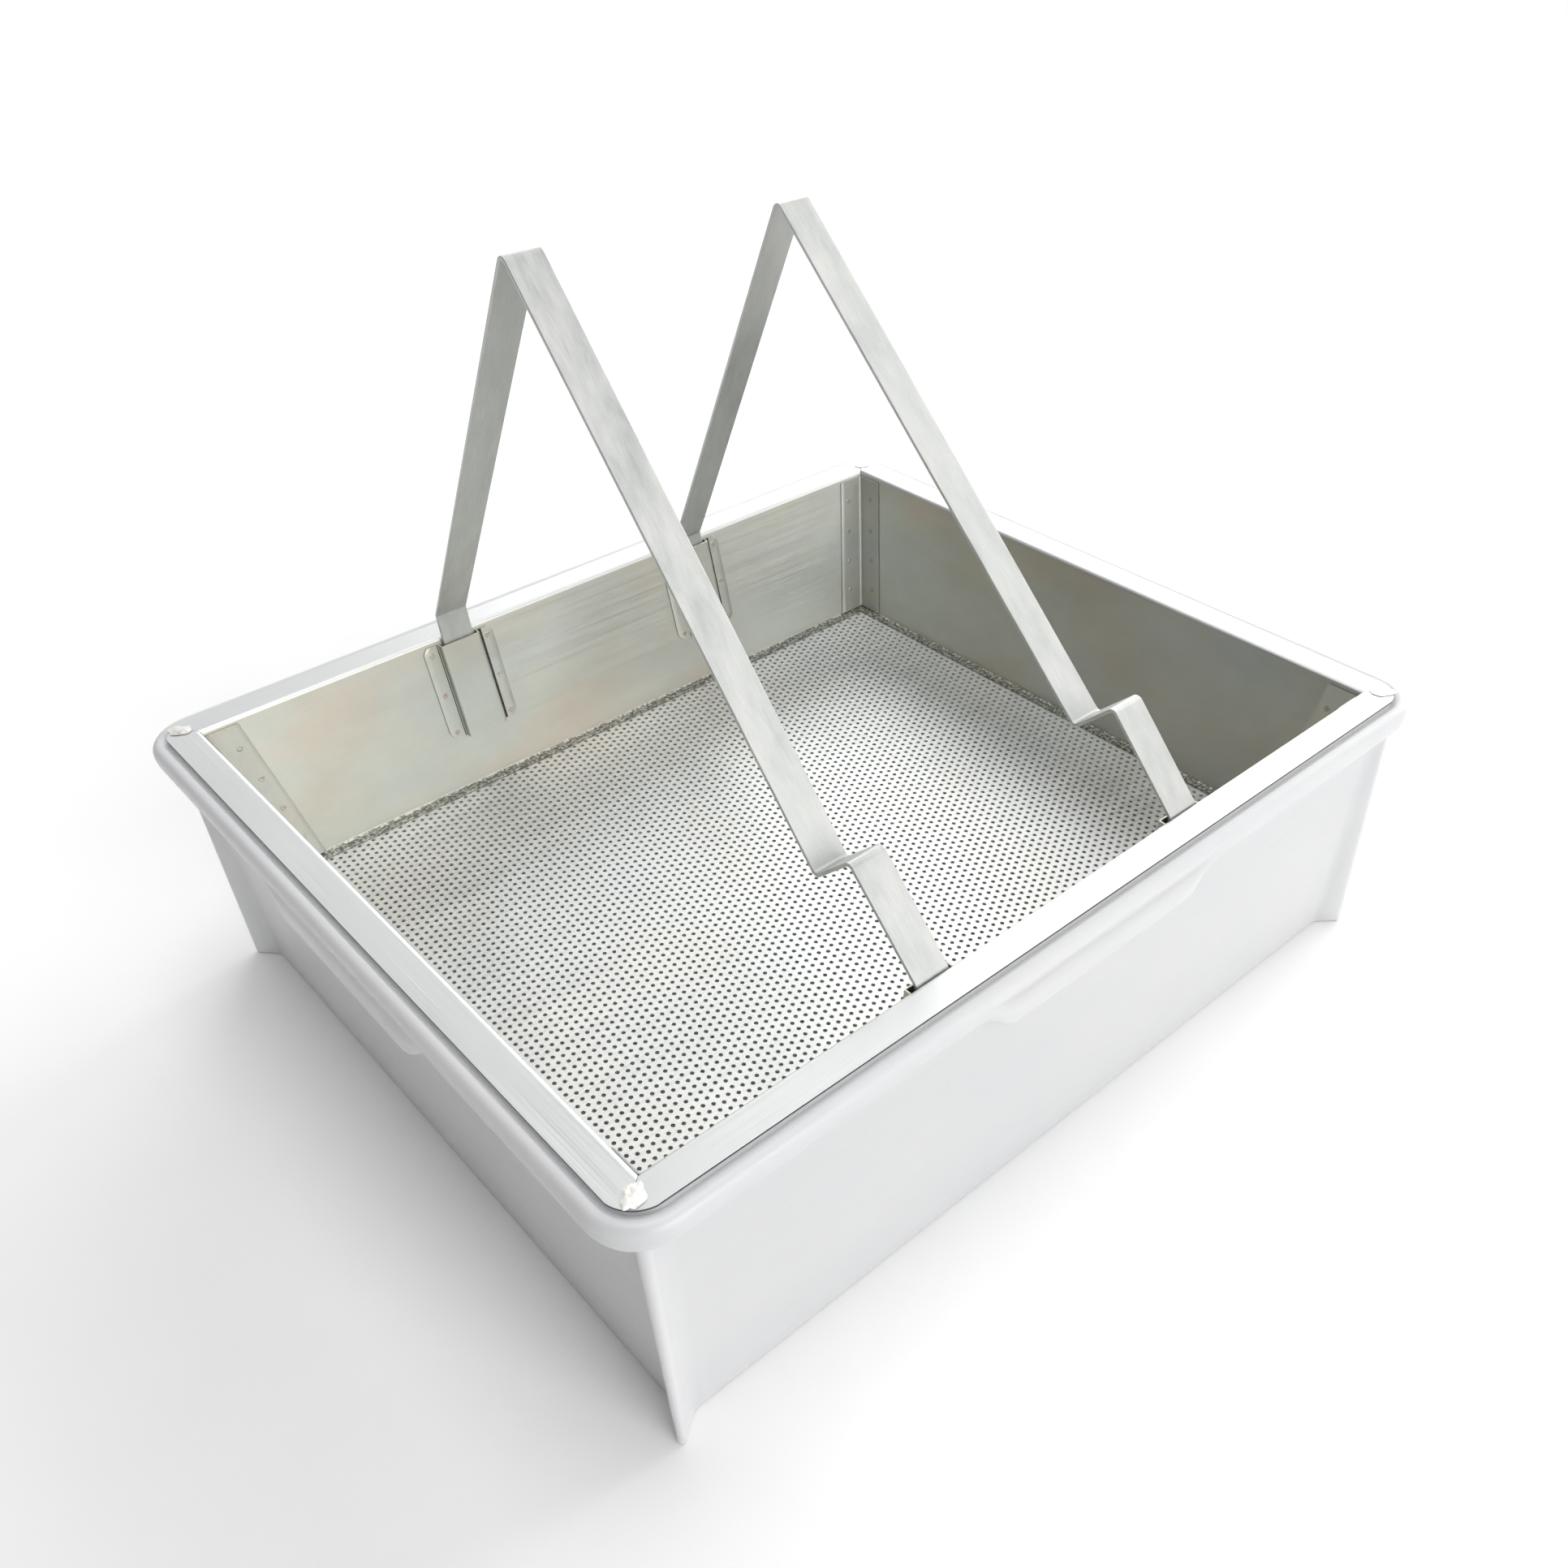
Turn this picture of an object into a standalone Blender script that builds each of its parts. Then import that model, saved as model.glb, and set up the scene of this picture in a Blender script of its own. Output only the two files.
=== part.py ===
"""Uncapping tray for honey frames: a moulded tub, a sieve basket that hangs in it by its flange,
and two bent-strip frame rests that lift out of pockets welded inside the basket.

Units are metres. The origin is on the ground under the centre of the tub, +Z is up, the long
sides run along X, and the front long side faces -Y.
"""
import math

import bmesh
import bpy
from mathutils import Vector

GAP = 0.0003  # clearance between pieces that touch

# Heights
RIM_Z = 0.160  # top of the basket's flange

# Basket of 1 mm stainless sheet: four walls lean out from the floor to the flange
SHEET = 0.001
BASKET_X = 0.235  # inner half length at the rim
BASKET_Y = 0.200  # inner half width at the rim
BASKET_DEPTH = 0.091
BASKET_TAPER = 0.018  # how far each wall comes in by the floor
FLANGE_WIDTH = 0.0163
FLANGE_CORNER_RADIUS = 0.017
LEDGE_WIDTH = 0.0055  # inward fold, which holds the floor sheet from above
BEND_RADIUS = 0.0016
FLOOR_Z = RIM_Z - BASKET_DEPTH
LEAN = BASKET_TAPER / BASKET_DEPTH

# Corner angles inside the basket
ANGLE_LEG = 0.018
ANGLE_SHEET = 0.0008
ANGLE_TOP_DROP = 0.003

# Pockets: a channel with two side flanges, spot-welded to the long walls
POCKET_X = 0.084
POCKET_TOP_DROP = 0.0035
POCKET_BOTTOM_DROP = 0.0600
POCKET_SHEET = 0.0008
POCKET_DEPTH = 0.0050
CHANNEL_HALF = 0.0123
POCKET_HALF = 0.0225
POCKET_CHAMFER = 0.003

# Frame rests: flat strip, given as (y, height above the rim) down its middle
STRIP_WIDTH = 0.0190
STRIP_SHEET = 0.0018
STRIP_BEND = 0.0030
TONGUE_DROP = 0.012
FRONT_BEND_UP = -0.002
REAR_BEND_Y = 0.1985
CREST = (-0.158, 0.041)
NOTCH = (-0.1355, 0.0204)
RESTS = {  # the two strips are bent by hand and differ a little
    "left": {"apex": (0.0465, 0.2396), "rear_bend_up": 0.014},
    "right": {"apex": (0.0760, 0.2240), "rear_bend_up": 0.003},
}

# Weld beads on the flange's corners
BEAD_LENGTH = 0.014
BEAD_WIDTH = 0.0055
BEAD_HEIGHT = 0.0008
BEAD_PLACE = 0.46  # share of the flange's width from the inner corner to the bead's middle

# Tub: moulded white plastic, a little wider at the top, with a rolled rim
TUB_WALL = 0.003
TUB_BOTTOM_X = 0.238  # outer half length at the ground
TUB_BOTTOM_Y = 0.206
TUB_FLARE = 0.008  # how far each side leans out by the rim
TUB_CORNER_RADIUS = 0.016
TUB_FLOOR_FILLET = 0.014
TUB_EDGE_RADIUS = 0.0025
RIM_TOP_Z = RIM_Z - SHEET - GAP
RIM_X = 0.2605  # outer half length of the rolled rim
RIM_Y = 0.2255
RIM_CORNER_RADIUS = 0.0265
RIM_ROLL = 0.011
SKIRT_BOTTOM_Z = RIM_Z - 0.017
SKIRT_WALL = 0.0025
GRIP_DROP = 0.010  # the skirt hangs lower in the middle of each side, as a hand grip
GRIP_HALF = 0.080
GRIP_SLOPE = 0.016
CORNER_STEPS = 6

# Corner legs: diagonal fins outside the tub's corners
FIN_TIP_X = 0.247
FIN_TIP_Y = 0.215
FIN_FOOT_Z = 0.0005
FIN_TOP_Z = RIM_TOP_Z - TUB_WALL + 0.001
FIN_THICK_TOP = 0.013
FIN_THICK_FOOT = 0.007
FIN_TIP_SHARE = 0.6  # thickness at the outer edge, as a share of that at the tub

WHITE_PLASTIC = (0.86, 0.86, 0.88)
BRIGHT_STEEL = (0.74, 0.74, 0.72)
DARK_STEEL = (0.60, 0.59, 0.55)
STRIP_STEEL = (0.70, 0.71, 0.69)
WELD_STEEL = (0.45, 0.42, 0.38)


def clear_scene():
    for old in list(bpy.data.objects):
        bpy.data.objects.remove(old, do_unlink=True)


def make_material(name, colour, roughness, metallic):
    material = bpy.data.materials.new(name)
    material.use_nodes = True
    shader = material.node_tree.nodes["Principled BSDF"]
    shader.inputs["Base Color"].default_value = (*colour, 1.0)
    shader.inputs["Roughness"].default_value = roughness
    shader.inputs["Metallic"].default_value = metallic
    return material


def steel(name, colour, roughness=0.35):
    return make_material(name, colour, roughness, 1.0)


def add_object(name, bm, material, sharp_angle=None):
    bmesh.ops.recalc_face_normals(bm, faces=bm.faces)
    mesh = bpy.data.meshes.new(name)
    bm.to_mesh(mesh)
    bm.free()
    if sharp_angle:
        mesh.shade_smooth()
        mesh.set_sharp_from_angle(angle=math.radians(sharp_angle))
    mesh.materials.append(material)
    obj = bpy.data.objects.new(name, mesh)
    bpy.context.scene.collection.objects.link(obj)
    return obj


def loft(bm, loops):
    """Skin a list of equal loops and cap both ends."""
    rings = [[bm.verts.new(point) for point in loop] for loop in loops]
    count = len(rings[0])
    for low, high in zip(rings, rings[1:]):
        for i in range(count):
            j = (i + 1) % count
            bm.faces.new((low[i], low[j], high[j], high[i]))
    bm.faces.new(list(reversed(rings[0])))
    bm.faces.new(rings[-1])


def fillet(points, radius, steps=4):
    """Round each inner corner of an open 2-D path with an arc."""
    path = [Vector(points[0])]
    for before, here, after in zip(points, points[1:], points[2:]):
        here = Vector(here)
        into = (here - Vector(before)).normalized()
        out = (Vector(after) - here).normalized()
        half_turn = into.angle(out) / 2
        reach = radius * math.tan(half_turn)
        middle = here + (out - into).normalized() * (radius / math.cos(half_turn))
        start = here - into * reach - middle
        turn = into.angle_signed(out)
        for step in range(steps + 1):
            angle = -turn * step / steps
            cos, sin = math.cos(angle), math.sin(angle)
            path.append(middle + Vector((start.x * cos - start.y * sin, start.x * sin + start.y * cos)))
    path.append(Vector(points[-1]))
    return path


def offset_pairs(path, thickness):
    """The two faces of a sheet, as point pairs, from the path down its middle."""
    pairs = []
    for i, here in enumerate(path):
        into = (here - path[i - 1]).normalized() if i else None
        out = (path[i + 1] - here).normalized() if i + 1 < len(path) else None
        into, out = into or out, out or into
        normal = Vector((-(into + out).y, (into + out).x)).normalized()
        reach = thickness / 2 / max(normal.dot(Vector((-into.y, into.x))), 0.2)
        pairs.append((here + normal * reach, here - normal * reach))
    return pairs


def folded_sheet(bm, path, thickness, place):
    """A sheet folded along a path; place(a, b, side) puts each edge point in space."""
    loops = []
    for one, other in offset_pairs(path, thickness):
        loop = [place(one.x, one.y, side) for side in (-1, 1)]
        loop += [place(other.x, other.y, side) for side in (1, -1)]
        loops.append(loop)
    loft(bm, loops)


def rounded_rectangle(half_x, half_y, radius, z, stations=()):
    """Loop of points round a rectangle; each side has extra points at the stations."""
    loop = []
    for sign_x, sign_y, start in ((1, 1, 0), (-1, 1, 90), (-1, -1, 180), (1, -1, 270)):
        centre_x = sign_x * (half_x - radius)
        centre_y = sign_y * (half_y - radius)
        for step in range(CORNER_STEPS + 1):
            angle = math.radians(start + 90 * step / CORNER_STEPS)
            loop.append((centre_x + radius * math.cos(angle), centre_y + radius * math.sin(angle), z))
        for station in stations:
            side = {
                0: (-station, half_y),
                90: (-half_x, -station),
                180: (station, -half_y),
                270: (half_x, station),
            }
            loop.append((*side[start], z))
    return loop


def grip_depth(x, y):
    """How far the skirt's lower edge drops at a point of the rim."""
    on_short_side = abs(x) > RIM_X - RIM_CORNER_RADIUS and abs(y) < RIM_Y - RIM_CORNER_RADIUS
    on_long_side = abs(y) > RIM_Y - RIM_CORNER_RADIUS and abs(x) < RIM_X - RIM_CORNER_RADIUS
    if not (on_short_side or on_long_side):
        return 0.0
    along = abs(y) if on_short_side else abs(x)
    share = min(max((GRIP_HALF - along) / GRIP_SLOPE, 0.0), 1.0)
    return GRIP_DROP * share * share * (3 - 2 * share)


def tub_loops():
    """Loops of the tub's skin, from the middle of the inside floor out over the rim to the base."""
    slope_steps = 4
    ramp = [GRIP_HALF - GRIP_SLOPE * step / slope_steps for step in range(slope_steps + 1)]
    stations = [-s for s in ramp] + list(reversed(ramp))

    def wall(inset, z, radius):
        flare = TUB_FLARE * z / RIM_TOP_Z
        half_x, half_y = TUB_BOTTOM_X + flare - inset, TUB_BOTTOM_Y + flare - inset
        return rounded_rectangle(half_x, half_y, radius, z, stations)

    def rim(inset, z, follow_grip=False):
        loop = rounded_rectangle(RIM_X - inset, RIM_Y - inset, RIM_CORNER_RADIUS - inset, z, stations)
        if follow_grip:
            loop = [(x, y, z - grip_depth(x, y)) for x, y, z in loop]
        return loop

    loops = []
    fillet_steps, roll_steps, edge_steps = 4, 5, 2
    for step in range(fillet_steps + 1):
        angle = math.pi / 2 * step / fillet_steps
        inset = TUB_WALL + TUB_FLOOR_FILLET * (1 - math.sin(angle))
        z = TUB_WALL + TUB_FLOOR_FILLET * (1 - math.cos(angle))
        loops.append(wall(inset, z, max(TUB_CORNER_RADIUS - inset, 0.001)))
    loops.append(wall(TUB_WALL, RIM_TOP_Z - 0.002, TUB_CORNER_RADIUS - TUB_WALL))
    loops.append(wall(TUB_WALL - 0.002, RIM_TOP_Z, TUB_CORNER_RADIUS - TUB_WALL + 0.002))
    for step in range(roll_steps + 1):
        angle = math.pi / 2 * step / roll_steps
        loops.append(rim(RIM_ROLL * (1 - math.sin(angle)), RIM_TOP_Z - RIM_ROLL * (1 - math.cos(angle))))
    loops.append(rim(0, SKIRT_BOTTOM_Z, follow_grip=True))
    loops.append(rim(SKIRT_WALL, SKIRT_BOTTOM_Z, follow_grip=True))
    loops.append(rim(SKIRT_WALL, RIM_TOP_Z - RIM_ROLL))
    loops.append(rim(SKIRT_WALL + RIM_ROLL / 3, RIM_TOP_Z - TUB_WALL))
    loops.append(wall(0, RIM_TOP_Z - TUB_WALL, TUB_CORNER_RADIUS))
    for step in range(edge_steps + 1):
        angle = math.pi / 2 * step / edge_steps
        inset = TUB_EDGE_RADIUS * (1 - math.cos(angle))
        z = TUB_EDGE_RADIUS * (1 - math.sin(angle))
        loops.append(wall(inset, z, TUB_CORNER_RADIUS - inset))
    return loops


def fin_loop(sign_x, sign_y, z):
    """Cross-section of a corner leg: a wedge on the corner's diagonal with a rounded outer edge."""
    flare = TUB_FLARE * z / RIM_TOP_Z
    corner_cut = TUB_CORNER_RADIUS * (1 - math.sqrt(0.5))
    root_x = TUB_BOTTOM_X + flare - corner_cut - TUB_WALL / 2
    reach = (FIN_TIP_X - root_x) * math.sqrt(2)
    share = z / FIN_TOP_Z
    thick = FIN_THICK_FOOT + (FIN_THICK_TOP - FIN_THICK_FOOT) * share
    tip = thick * FIN_TIP_SHARE
    outline = [(0, -thick / 2), (reach - tip / 2, -tip / 2), (reach - tip / 6, -tip / 3), (reach, 0)]
    outline += [(along, -across) for along, across in reversed(outline[:-1])]
    root_y = root_x - FIN_TIP_X + FIN_TIP_Y
    diagonal = math.sqrt(0.5)
    return [
        (sign_x * (root_x + (along - across) * diagonal), sign_y * (root_y + (along + across) * diagonal), z)
        for along, across in outline
    ]


def make_fin(sign_x, sign_y, material):
    bm = bmesh.new()
    heights = [FIN_FOOT_Z, FIN_TOP_Z * 0.5, FIN_TOP_Z]
    loft(bm, [fin_loop(sign_x, sign_y, z) for z in heights])
    fin = add_object(f"fin_cutter_{sign_x}_{sign_y}", bm, material)
    fin.hide_render = True
    fin.display_type = "WIRE"
    return fin


def make_tub():
    material = make_material("white_plastic", WHITE_PLASTIC, 0.45, 0.0)
    bm = bmesh.new()
    loft(bm, tub_loops())
    tub = add_object("tub", bm, material, sharp_angle=35)
    for sign_x in (-1, 1):
        for sign_y in (-1, 1):
            union = tub.modifiers.new("corner_leg", "BOOLEAN")
            union.operation = "UNION"
            union.object = make_fin(sign_x, sign_y, material)


def wall_path(half_width):
    """Section of one basket wall, flange to ledge, as (distance out from the middle, z)."""
    top_z = RIM_Z - SHEET / 2
    ledge_z = FLOOR_Z - SHEET / 2
    face = half_width + SHEET / 2
    foot = face - LEAN * (top_z - ledge_z)
    corners = [
        (half_width + FLANGE_WIDTH, top_z),
        (face, top_z),
        (foot, ledge_z),
        (foot - LEDGE_WIDTH, ledge_z),
    ]
    return fillet(corners, BEND_RADIUS)


def flange_outline_cutter():
    """Solid whose outline rounds the corners of the flange."""
    bm = bmesh.new()
    half_x, half_y = BASKET_X + FLANGE_WIDTH + GAP, BASKET_Y + FLANGE_WIDTH + GAP
    heights = (FLOOR_Z - 0.02, RIM_Z + 0.02)
    loft(bm, [rounded_rectangle(half_x, half_y, FLANGE_CORNER_RADIUS, z) for z in heights])
    cutter = add_object("flange_outline_cutter", bm, steel("flange_cutter", BRIGHT_STEEL))
    cutter.hide_render = True
    cutter.display_type = "WIRE"
    return cutter


def make_basket_walls():
    cutter = flange_outline_cutter()
    extra = BASKET_X - BASKET_Y
    sides = {
        "front": (BASKET_Y, lambda out, z, end: (end * (out + extra - GAP), -out, z)),
        "back": (BASKET_Y, lambda out, z, end: (end * (out + extra - GAP), out, z)),
        "left": (BASKET_X, lambda out, z, end: (-out, end * (out - extra), z)),
        "right": (BASKET_X, lambda out, z, end: (out, end * (out - extra), z)),
    }
    for side, (half_width, place) in sides.items():
        colour = DARK_STEEL if side == "right" else BRIGHT_STEEL
        bm = bmesh.new()
        folded_sheet(bm, wall_path(half_width), SHEET, place)
        wall = add_object(f"basket_wall_{side}", bm, steel(f"wall_{side}_steel", colour), sharp_angle=40)
        trim = wall.modifiers.new("flange_corners", "BOOLEAN")
        trim.operation = "INTERSECT"
        trim.object = cutter


def make_floor():
    """Floor sheet, welded under the ledges; its holes are left out here."""
    inset = GAP + BEND_RADIUS
    half_x = BASKET_X - BASKET_TAPER - inset
    half_y = BASKET_Y - BASKET_TAPER - inset
    corners = ((half_x, half_y), (-half_x, half_y), (-half_x, -half_y), (half_x, -half_y))
    top_z = FLOOR_Z - SHEET - GAP
    bm = bmesh.new()
    loft(bm, [[(x, y, z) for x, y in corners] for z in (top_z - SHEET, top_z)])
    add_object("perforated_floor", bm, steel("perforated_steel", BRIGHT_STEEL))


def make_corner_angles():
    """Folded strips that tie each pair of walls together inside the corners."""
    for side_x, sign_x in (("left", -1), ("right", 1)):
        for side_y, sign_y in (("front", -1), ("back", 1)):
            loops = []
            for z in (FLOOR_Z + 0.001, RIM_Z - ANGLE_TOP_DROP):
                shrink = LEAN * (RIM_Z - z) + GAP
                outer_x, outer_y = BASKET_X - shrink, BASKET_Y - shrink
                inner_x, inner_y = outer_x - ANGLE_SHEET, outer_y - ANGLE_SHEET
                leg_x, leg_y = outer_x - ANGLE_LEG, outer_y - ANGLE_LEG
                outline = [(outer_x, leg_y), (outer_x, outer_y), (leg_x, outer_y)]
                outline += [(leg_x, inner_y), (inner_x, inner_y), (inner_x, leg_y)]
                loops.append([(sign_x * x, sign_y * y, z) for x, y in outline])
            bm = bmesh.new()
            loft(bm, loops)
            material = steel(f"angle_{side_y}_{side_x}_steel", BRIGHT_STEEL, 0.4)
            add_object(f"corner_angle_{side_y}_{side_x}", bm, material)


def make_pockets():
    """Hat-section pockets that hold the tongues of the frame rests."""
    top, bottom = RIM_Z - POCKET_TOP_DROP, RIM_Z - POCKET_BOTTOM_DROP
    levels = [
        (bottom, POCKET_CHAMFER),
        (bottom + POCKET_CHAMFER, 0),
        (top - POCKET_CHAMFER, 0),
        (top, POCKET_CHAMFER),
    ]
    for side_x, sign_x in (("left", -1), ("right", 1)):
        for side_y, sign_y in (("front", -1), ("back", 1)):
            loops = []
            for z, chamfer in levels:
                near = GAP + POCKET_SHEET / 2
                far = POCKET_DEPTH - POCKET_SHEET / 2
                half = POCKET_HALF - chamfer
                across = [(-half, near), (-CHANNEL_HALF, near), (-CHANNEL_HALF, far)]
                across += [(-x, d) for x, d in reversed(across)]
                pairs = offset_pairs([Vector(point) for point in across], POCKET_SHEET)
                outline = [one for one, _ in pairs] + [other for _, other in reversed(pairs)]
                wall_y = BASKET_Y - LEAN * (RIM_Z - z)
                loops.append([(sign_x * POCKET_X + p.x, sign_y * (wall_y - p.y), z) for p in outline])
            bm = bmesh.new()
            loft(bm, loops)
            material = steel(f"pocket_{side_y}_{side_x}_steel", BRIGHT_STEEL)
            add_object(f"rest_pocket_{side_y}_{side_x}", bm, material)


def make_frame_rests():
    """Bent strips: a front leg, a step that holds the frame's bar, a long slope and a rear leg."""
    for side, sign in (("left", -1), ("right", 1)):
        shape = RESTS[side]

        def tongue(up):
            return BASKET_Y - GAP - STRIP_SHEET / 2 + LEAN * up

        points = [
            (-tongue(-TONGUE_DROP), -TONGUE_DROP),
            (-tongue(FRONT_BEND_UP), FRONT_BEND_UP),
            CREST,
            NOTCH,
            shape["apex"],
            (REAR_BEND_Y, shape["rear_bend_up"]),
            (tongue(-TONGUE_DROP), -TONGUE_DROP),
        ]
        centre_x = sign * POCKET_X
        bm = bmesh.new()
        folded_sheet(
            bm,
            fillet(points, STRIP_BEND),
            STRIP_SHEET,
            lambda y, up, end: (centre_x + end * STRIP_WIDTH / 2, y, RIM_Z + up),
        )
        add_object(f"frame_rest_{side}", bm, steel(f"rest_{side}_steel", STRIP_STEEL), sharp_angle=40)


def make_corner_welds():
    """Low beads across the mitred corners of the flange, one where each pair of walls meets."""
    sides, rings = 12, 4
    middle = FLANGE_WIDTH * BEAD_PLACE
    for side_x, sign_x in (("left", -1), ("right", 1)):
        for side_y, sign_y in (("front", -1), ("back", 1)):
            centre = Vector((sign_x * (BASKET_X + middle), sign_y * (BASKET_Y + middle), RIM_Z + GAP))
            along = Vector((sign_x, sign_y, 0)).normalized()
            across = Vector((-along.y, along.x, 0))
            loops = []
            for ring in range(rings):
                angle = math.pi / 2 * ring / rings
                lift = Vector((0, 0, BEAD_HEIGHT * math.sin(angle)))
                size = math.cos(angle)
                loop = []
                for step in range(sides):
                    turn = 2 * math.pi * step / sides
                    reach = along * math.cos(turn) * BEAD_LENGTH / 2
                    reach += across * math.sin(turn) * BEAD_WIDTH / 2
                    loop.append(tuple(centre + reach * size + lift))
                loops.append(loop)
            bm = bmesh.new()
            loft(bm, loops)
            material = steel(f"weld_{side_y}_{side_x}_steel", WELD_STEEL, 0.5)
            add_object(f"corner_weld_{side_y}_{side_x}", bm, material, sharp_angle=60)


clear_scene()
make_tub()
make_basket_walls()
make_floor()
make_corner_angles()
make_pockets()
make_frame_rests()
make_corner_welds()
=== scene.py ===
"""The looks of the honey strainer: moulded tub, stainless sieve basket and bent-strip frame rests.

Units are metres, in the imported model's frame: +Z up, origin on the ground under the tub's centre.
"""
import math

import bmesh
import bpy
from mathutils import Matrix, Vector, noise


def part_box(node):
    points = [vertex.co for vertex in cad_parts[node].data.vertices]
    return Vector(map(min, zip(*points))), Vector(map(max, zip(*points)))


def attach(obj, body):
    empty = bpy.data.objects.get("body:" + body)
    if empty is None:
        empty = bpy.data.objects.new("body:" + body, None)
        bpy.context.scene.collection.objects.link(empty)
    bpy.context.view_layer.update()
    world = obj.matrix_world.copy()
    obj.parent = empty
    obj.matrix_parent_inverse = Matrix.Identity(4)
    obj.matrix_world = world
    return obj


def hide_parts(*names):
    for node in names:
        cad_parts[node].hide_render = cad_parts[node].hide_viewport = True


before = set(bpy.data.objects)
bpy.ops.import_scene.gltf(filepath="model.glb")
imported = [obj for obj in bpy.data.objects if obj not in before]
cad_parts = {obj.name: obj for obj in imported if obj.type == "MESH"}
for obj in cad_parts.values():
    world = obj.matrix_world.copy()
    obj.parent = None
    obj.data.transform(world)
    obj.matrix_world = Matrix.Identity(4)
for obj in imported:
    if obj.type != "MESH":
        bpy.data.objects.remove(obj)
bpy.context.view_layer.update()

# Places taken from the frame
RIM_X, RIM_Y, RIM_TOP_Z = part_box("tub")[1]
FLOOR_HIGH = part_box("perforated_floor")[1]
SIEVE_Z = FLOOR_HIGH.z  # top of the punched sheet
RIM_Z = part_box("basket_wall_back")[1].z  # top of the basket's flange
FLANGE_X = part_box("basket_wall_right")[1].x
FLANGE_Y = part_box("basket_wall_back")[1].y

# The basket's four quarters, and the corners of a loop in anticlockwise order
QUARTERS = [
    (f"{side_y}_{side_x}", sign_x, sign_y)
    for side_x, sign_x in (("left", -1), ("right", 1))
    for side_y, sign_y in (("front", -1), ("back", 1))
]
CORNERS = ((1, 1), (-1, 1), (-1, -1), (1, -1))

# Basket walls. The mouth of the basket is at BASKET_X and BASKET_Y, and its walls lean inwards below.
GAP = 0.0003
SHEET = 0.001
FLOOR_Z = SIEVE_Z + GAP + SHEET  # top of the ledges, which lie on the punched sheet
FLANGE_WIDTH = 0.0163
BASKET_X = FLANGE_X - FLANGE_WIDTH
BASKET_Y = FLANGE_Y - FLANGE_WIDTH
BASKET_TAPER = 0.018
LEAN = BASKET_TAPER / (RIM_Z - FLOOR_Z)
FLANGE_CORNER_RADIUS = 0.017
LEDGE_WIDTH = 0.0055
BEND_RADIUS = 0.0022

# Punched floor
HOLE_PITCH = 0.005
HOLE_RADIUS = 0.00122
HOLE_SIDES = 8
MIDDLE_SLACK = 1e-6  # keeps the middle column of holes on the right half
MICRON = 1e-6

# Corner angles
ANGLE_LEG = 0.018
ANGLE_SHEET = 0.0008
ANGLE_TOP_DROP = 0.003
ANGLE_FOOT = 0.001
ANGLE_BEND = 0.0015

# Rest pockets: a channel for the strip's end between two flat ears
POCKET_X = 0.084
POCKET_TOP_DROP = 0.0035
POCKET_BOTTOM_DROP = 0.0600
POCKET_SHEET = 0.0008
POCKET_DEPTH = 0.0050
CHANNEL_HALF = 0.0123
POCKET_HALF = 0.0225
POCKET_CHAMFER = 0.003
POCKET_BEND = 0.0008
# Slits beside the channel: painted shade on the pocket's sheet, which is whole there.
SLIT_PLACE = CHANNEL_HALF + 0.0009
SLIT_ENDS = (-SLIT_PLACE - 0.0006, SLIT_PLACE + 0.0022)  # the slit on the right is wider

# Frame rests. Points are (Y, height above the flange), from the front leg to the rear one.
STRIP_WIDTH = 0.0190
STRIP_SHEET = 0.0018
STRIP_BEND = 0.0030
TONGUE_DROP = 0.012
FRONT_BEND_UP = -0.002
REAR_BEND_Y = 0.1985
CREST = (-0.158, 0.041)
NOTCH = (-0.1355, 0.0204)
RESTS = {
    "left": {"apex": (0.0465, 0.2396), "rear_bend_up": 0.014},
    "right": {"apex": (0.0760, 0.2240), "rear_bend_up": 0.003},
}

# Spot welds and mitre welds
POCKET_SPOT_X = 0.0182
POCKET_SPOT_DROPS = (0.0085, 0.0330, 0.0565)
CORNER_SPOT_INSET = 0.012
CORNER_SPOT_DROPS = (0.016, 0.036, 0.056, 0.076)
SPOT_RADIUS = 0.0017
HEAT_RADIUS = 0.0042
NUGGET = ((1.0, 0.00002), (0.92, 0.00010), (0.70, 0.00016), (0.45, 0.00009), (0.15, 0.00005))  # share, rise
WELD_HALF_LONG = 0.0075
WELD_HALF_WIDE = 0.0058
WELD_RISE = 0.00040
WELD_LUMP = 0.00026
WELD_SKIN = 0.00002

# Tub
TUB_WALL = 0.003
TUB_BOTTOM_X = 0.238
TUB_BOTTOM_Y = 0.206
TUB_FLARE = 0.008
TUB_CORNER_RADIUS = 0.016
TUB_LEAST_RADIUS = 0.003
TUB_FLOOR_FILLET = 0.014
TUB_EDGE_RADIUS = 0.0025
RIM_CORNER_RADIUS = 0.0265
RIM_ROLL = 0.0048  # radius of the rim's rolled bead
ROLL_START = -45  # degrees from the top, where the bead leaves the groove
ROLL_TOP_DEPTH = 0.0003
GROOVE_WIDTH = 0.0009  # shadow gap between the flange's edge and the bead
GROOVE_SLOPE = 0.0006
GROOVE_DEPTH = 0.0019
# Inner edge of the tub's mouth: how much the wall thins, depth below the top, and share of the wall
# taken off the corner's radius
MOUTH = ((0.0, 0.003, 0.6), (0.0008, 0.0009, 0.5), (0.0026, 0.0, 0.2))
UNDER_DEPTH = 0.0062  # underside of the rim, below its top
SKIRT_DEPTH = 0.0157  # below the top of the rim
SKIRT_WALL = 0.0025
SKIRT_EDGE = 0.0008
# Foot of the skirt, as (inset, height above the foot)
SKIRT_FOOT = (
    (0.0004, 0.0002),
    (SKIRT_WALL / 2, 0.0),
    (SKIRT_WALL - 0.0004, 0.0002),
    (SKIRT_WALL, SKIRT_EDGE),
)
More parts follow.
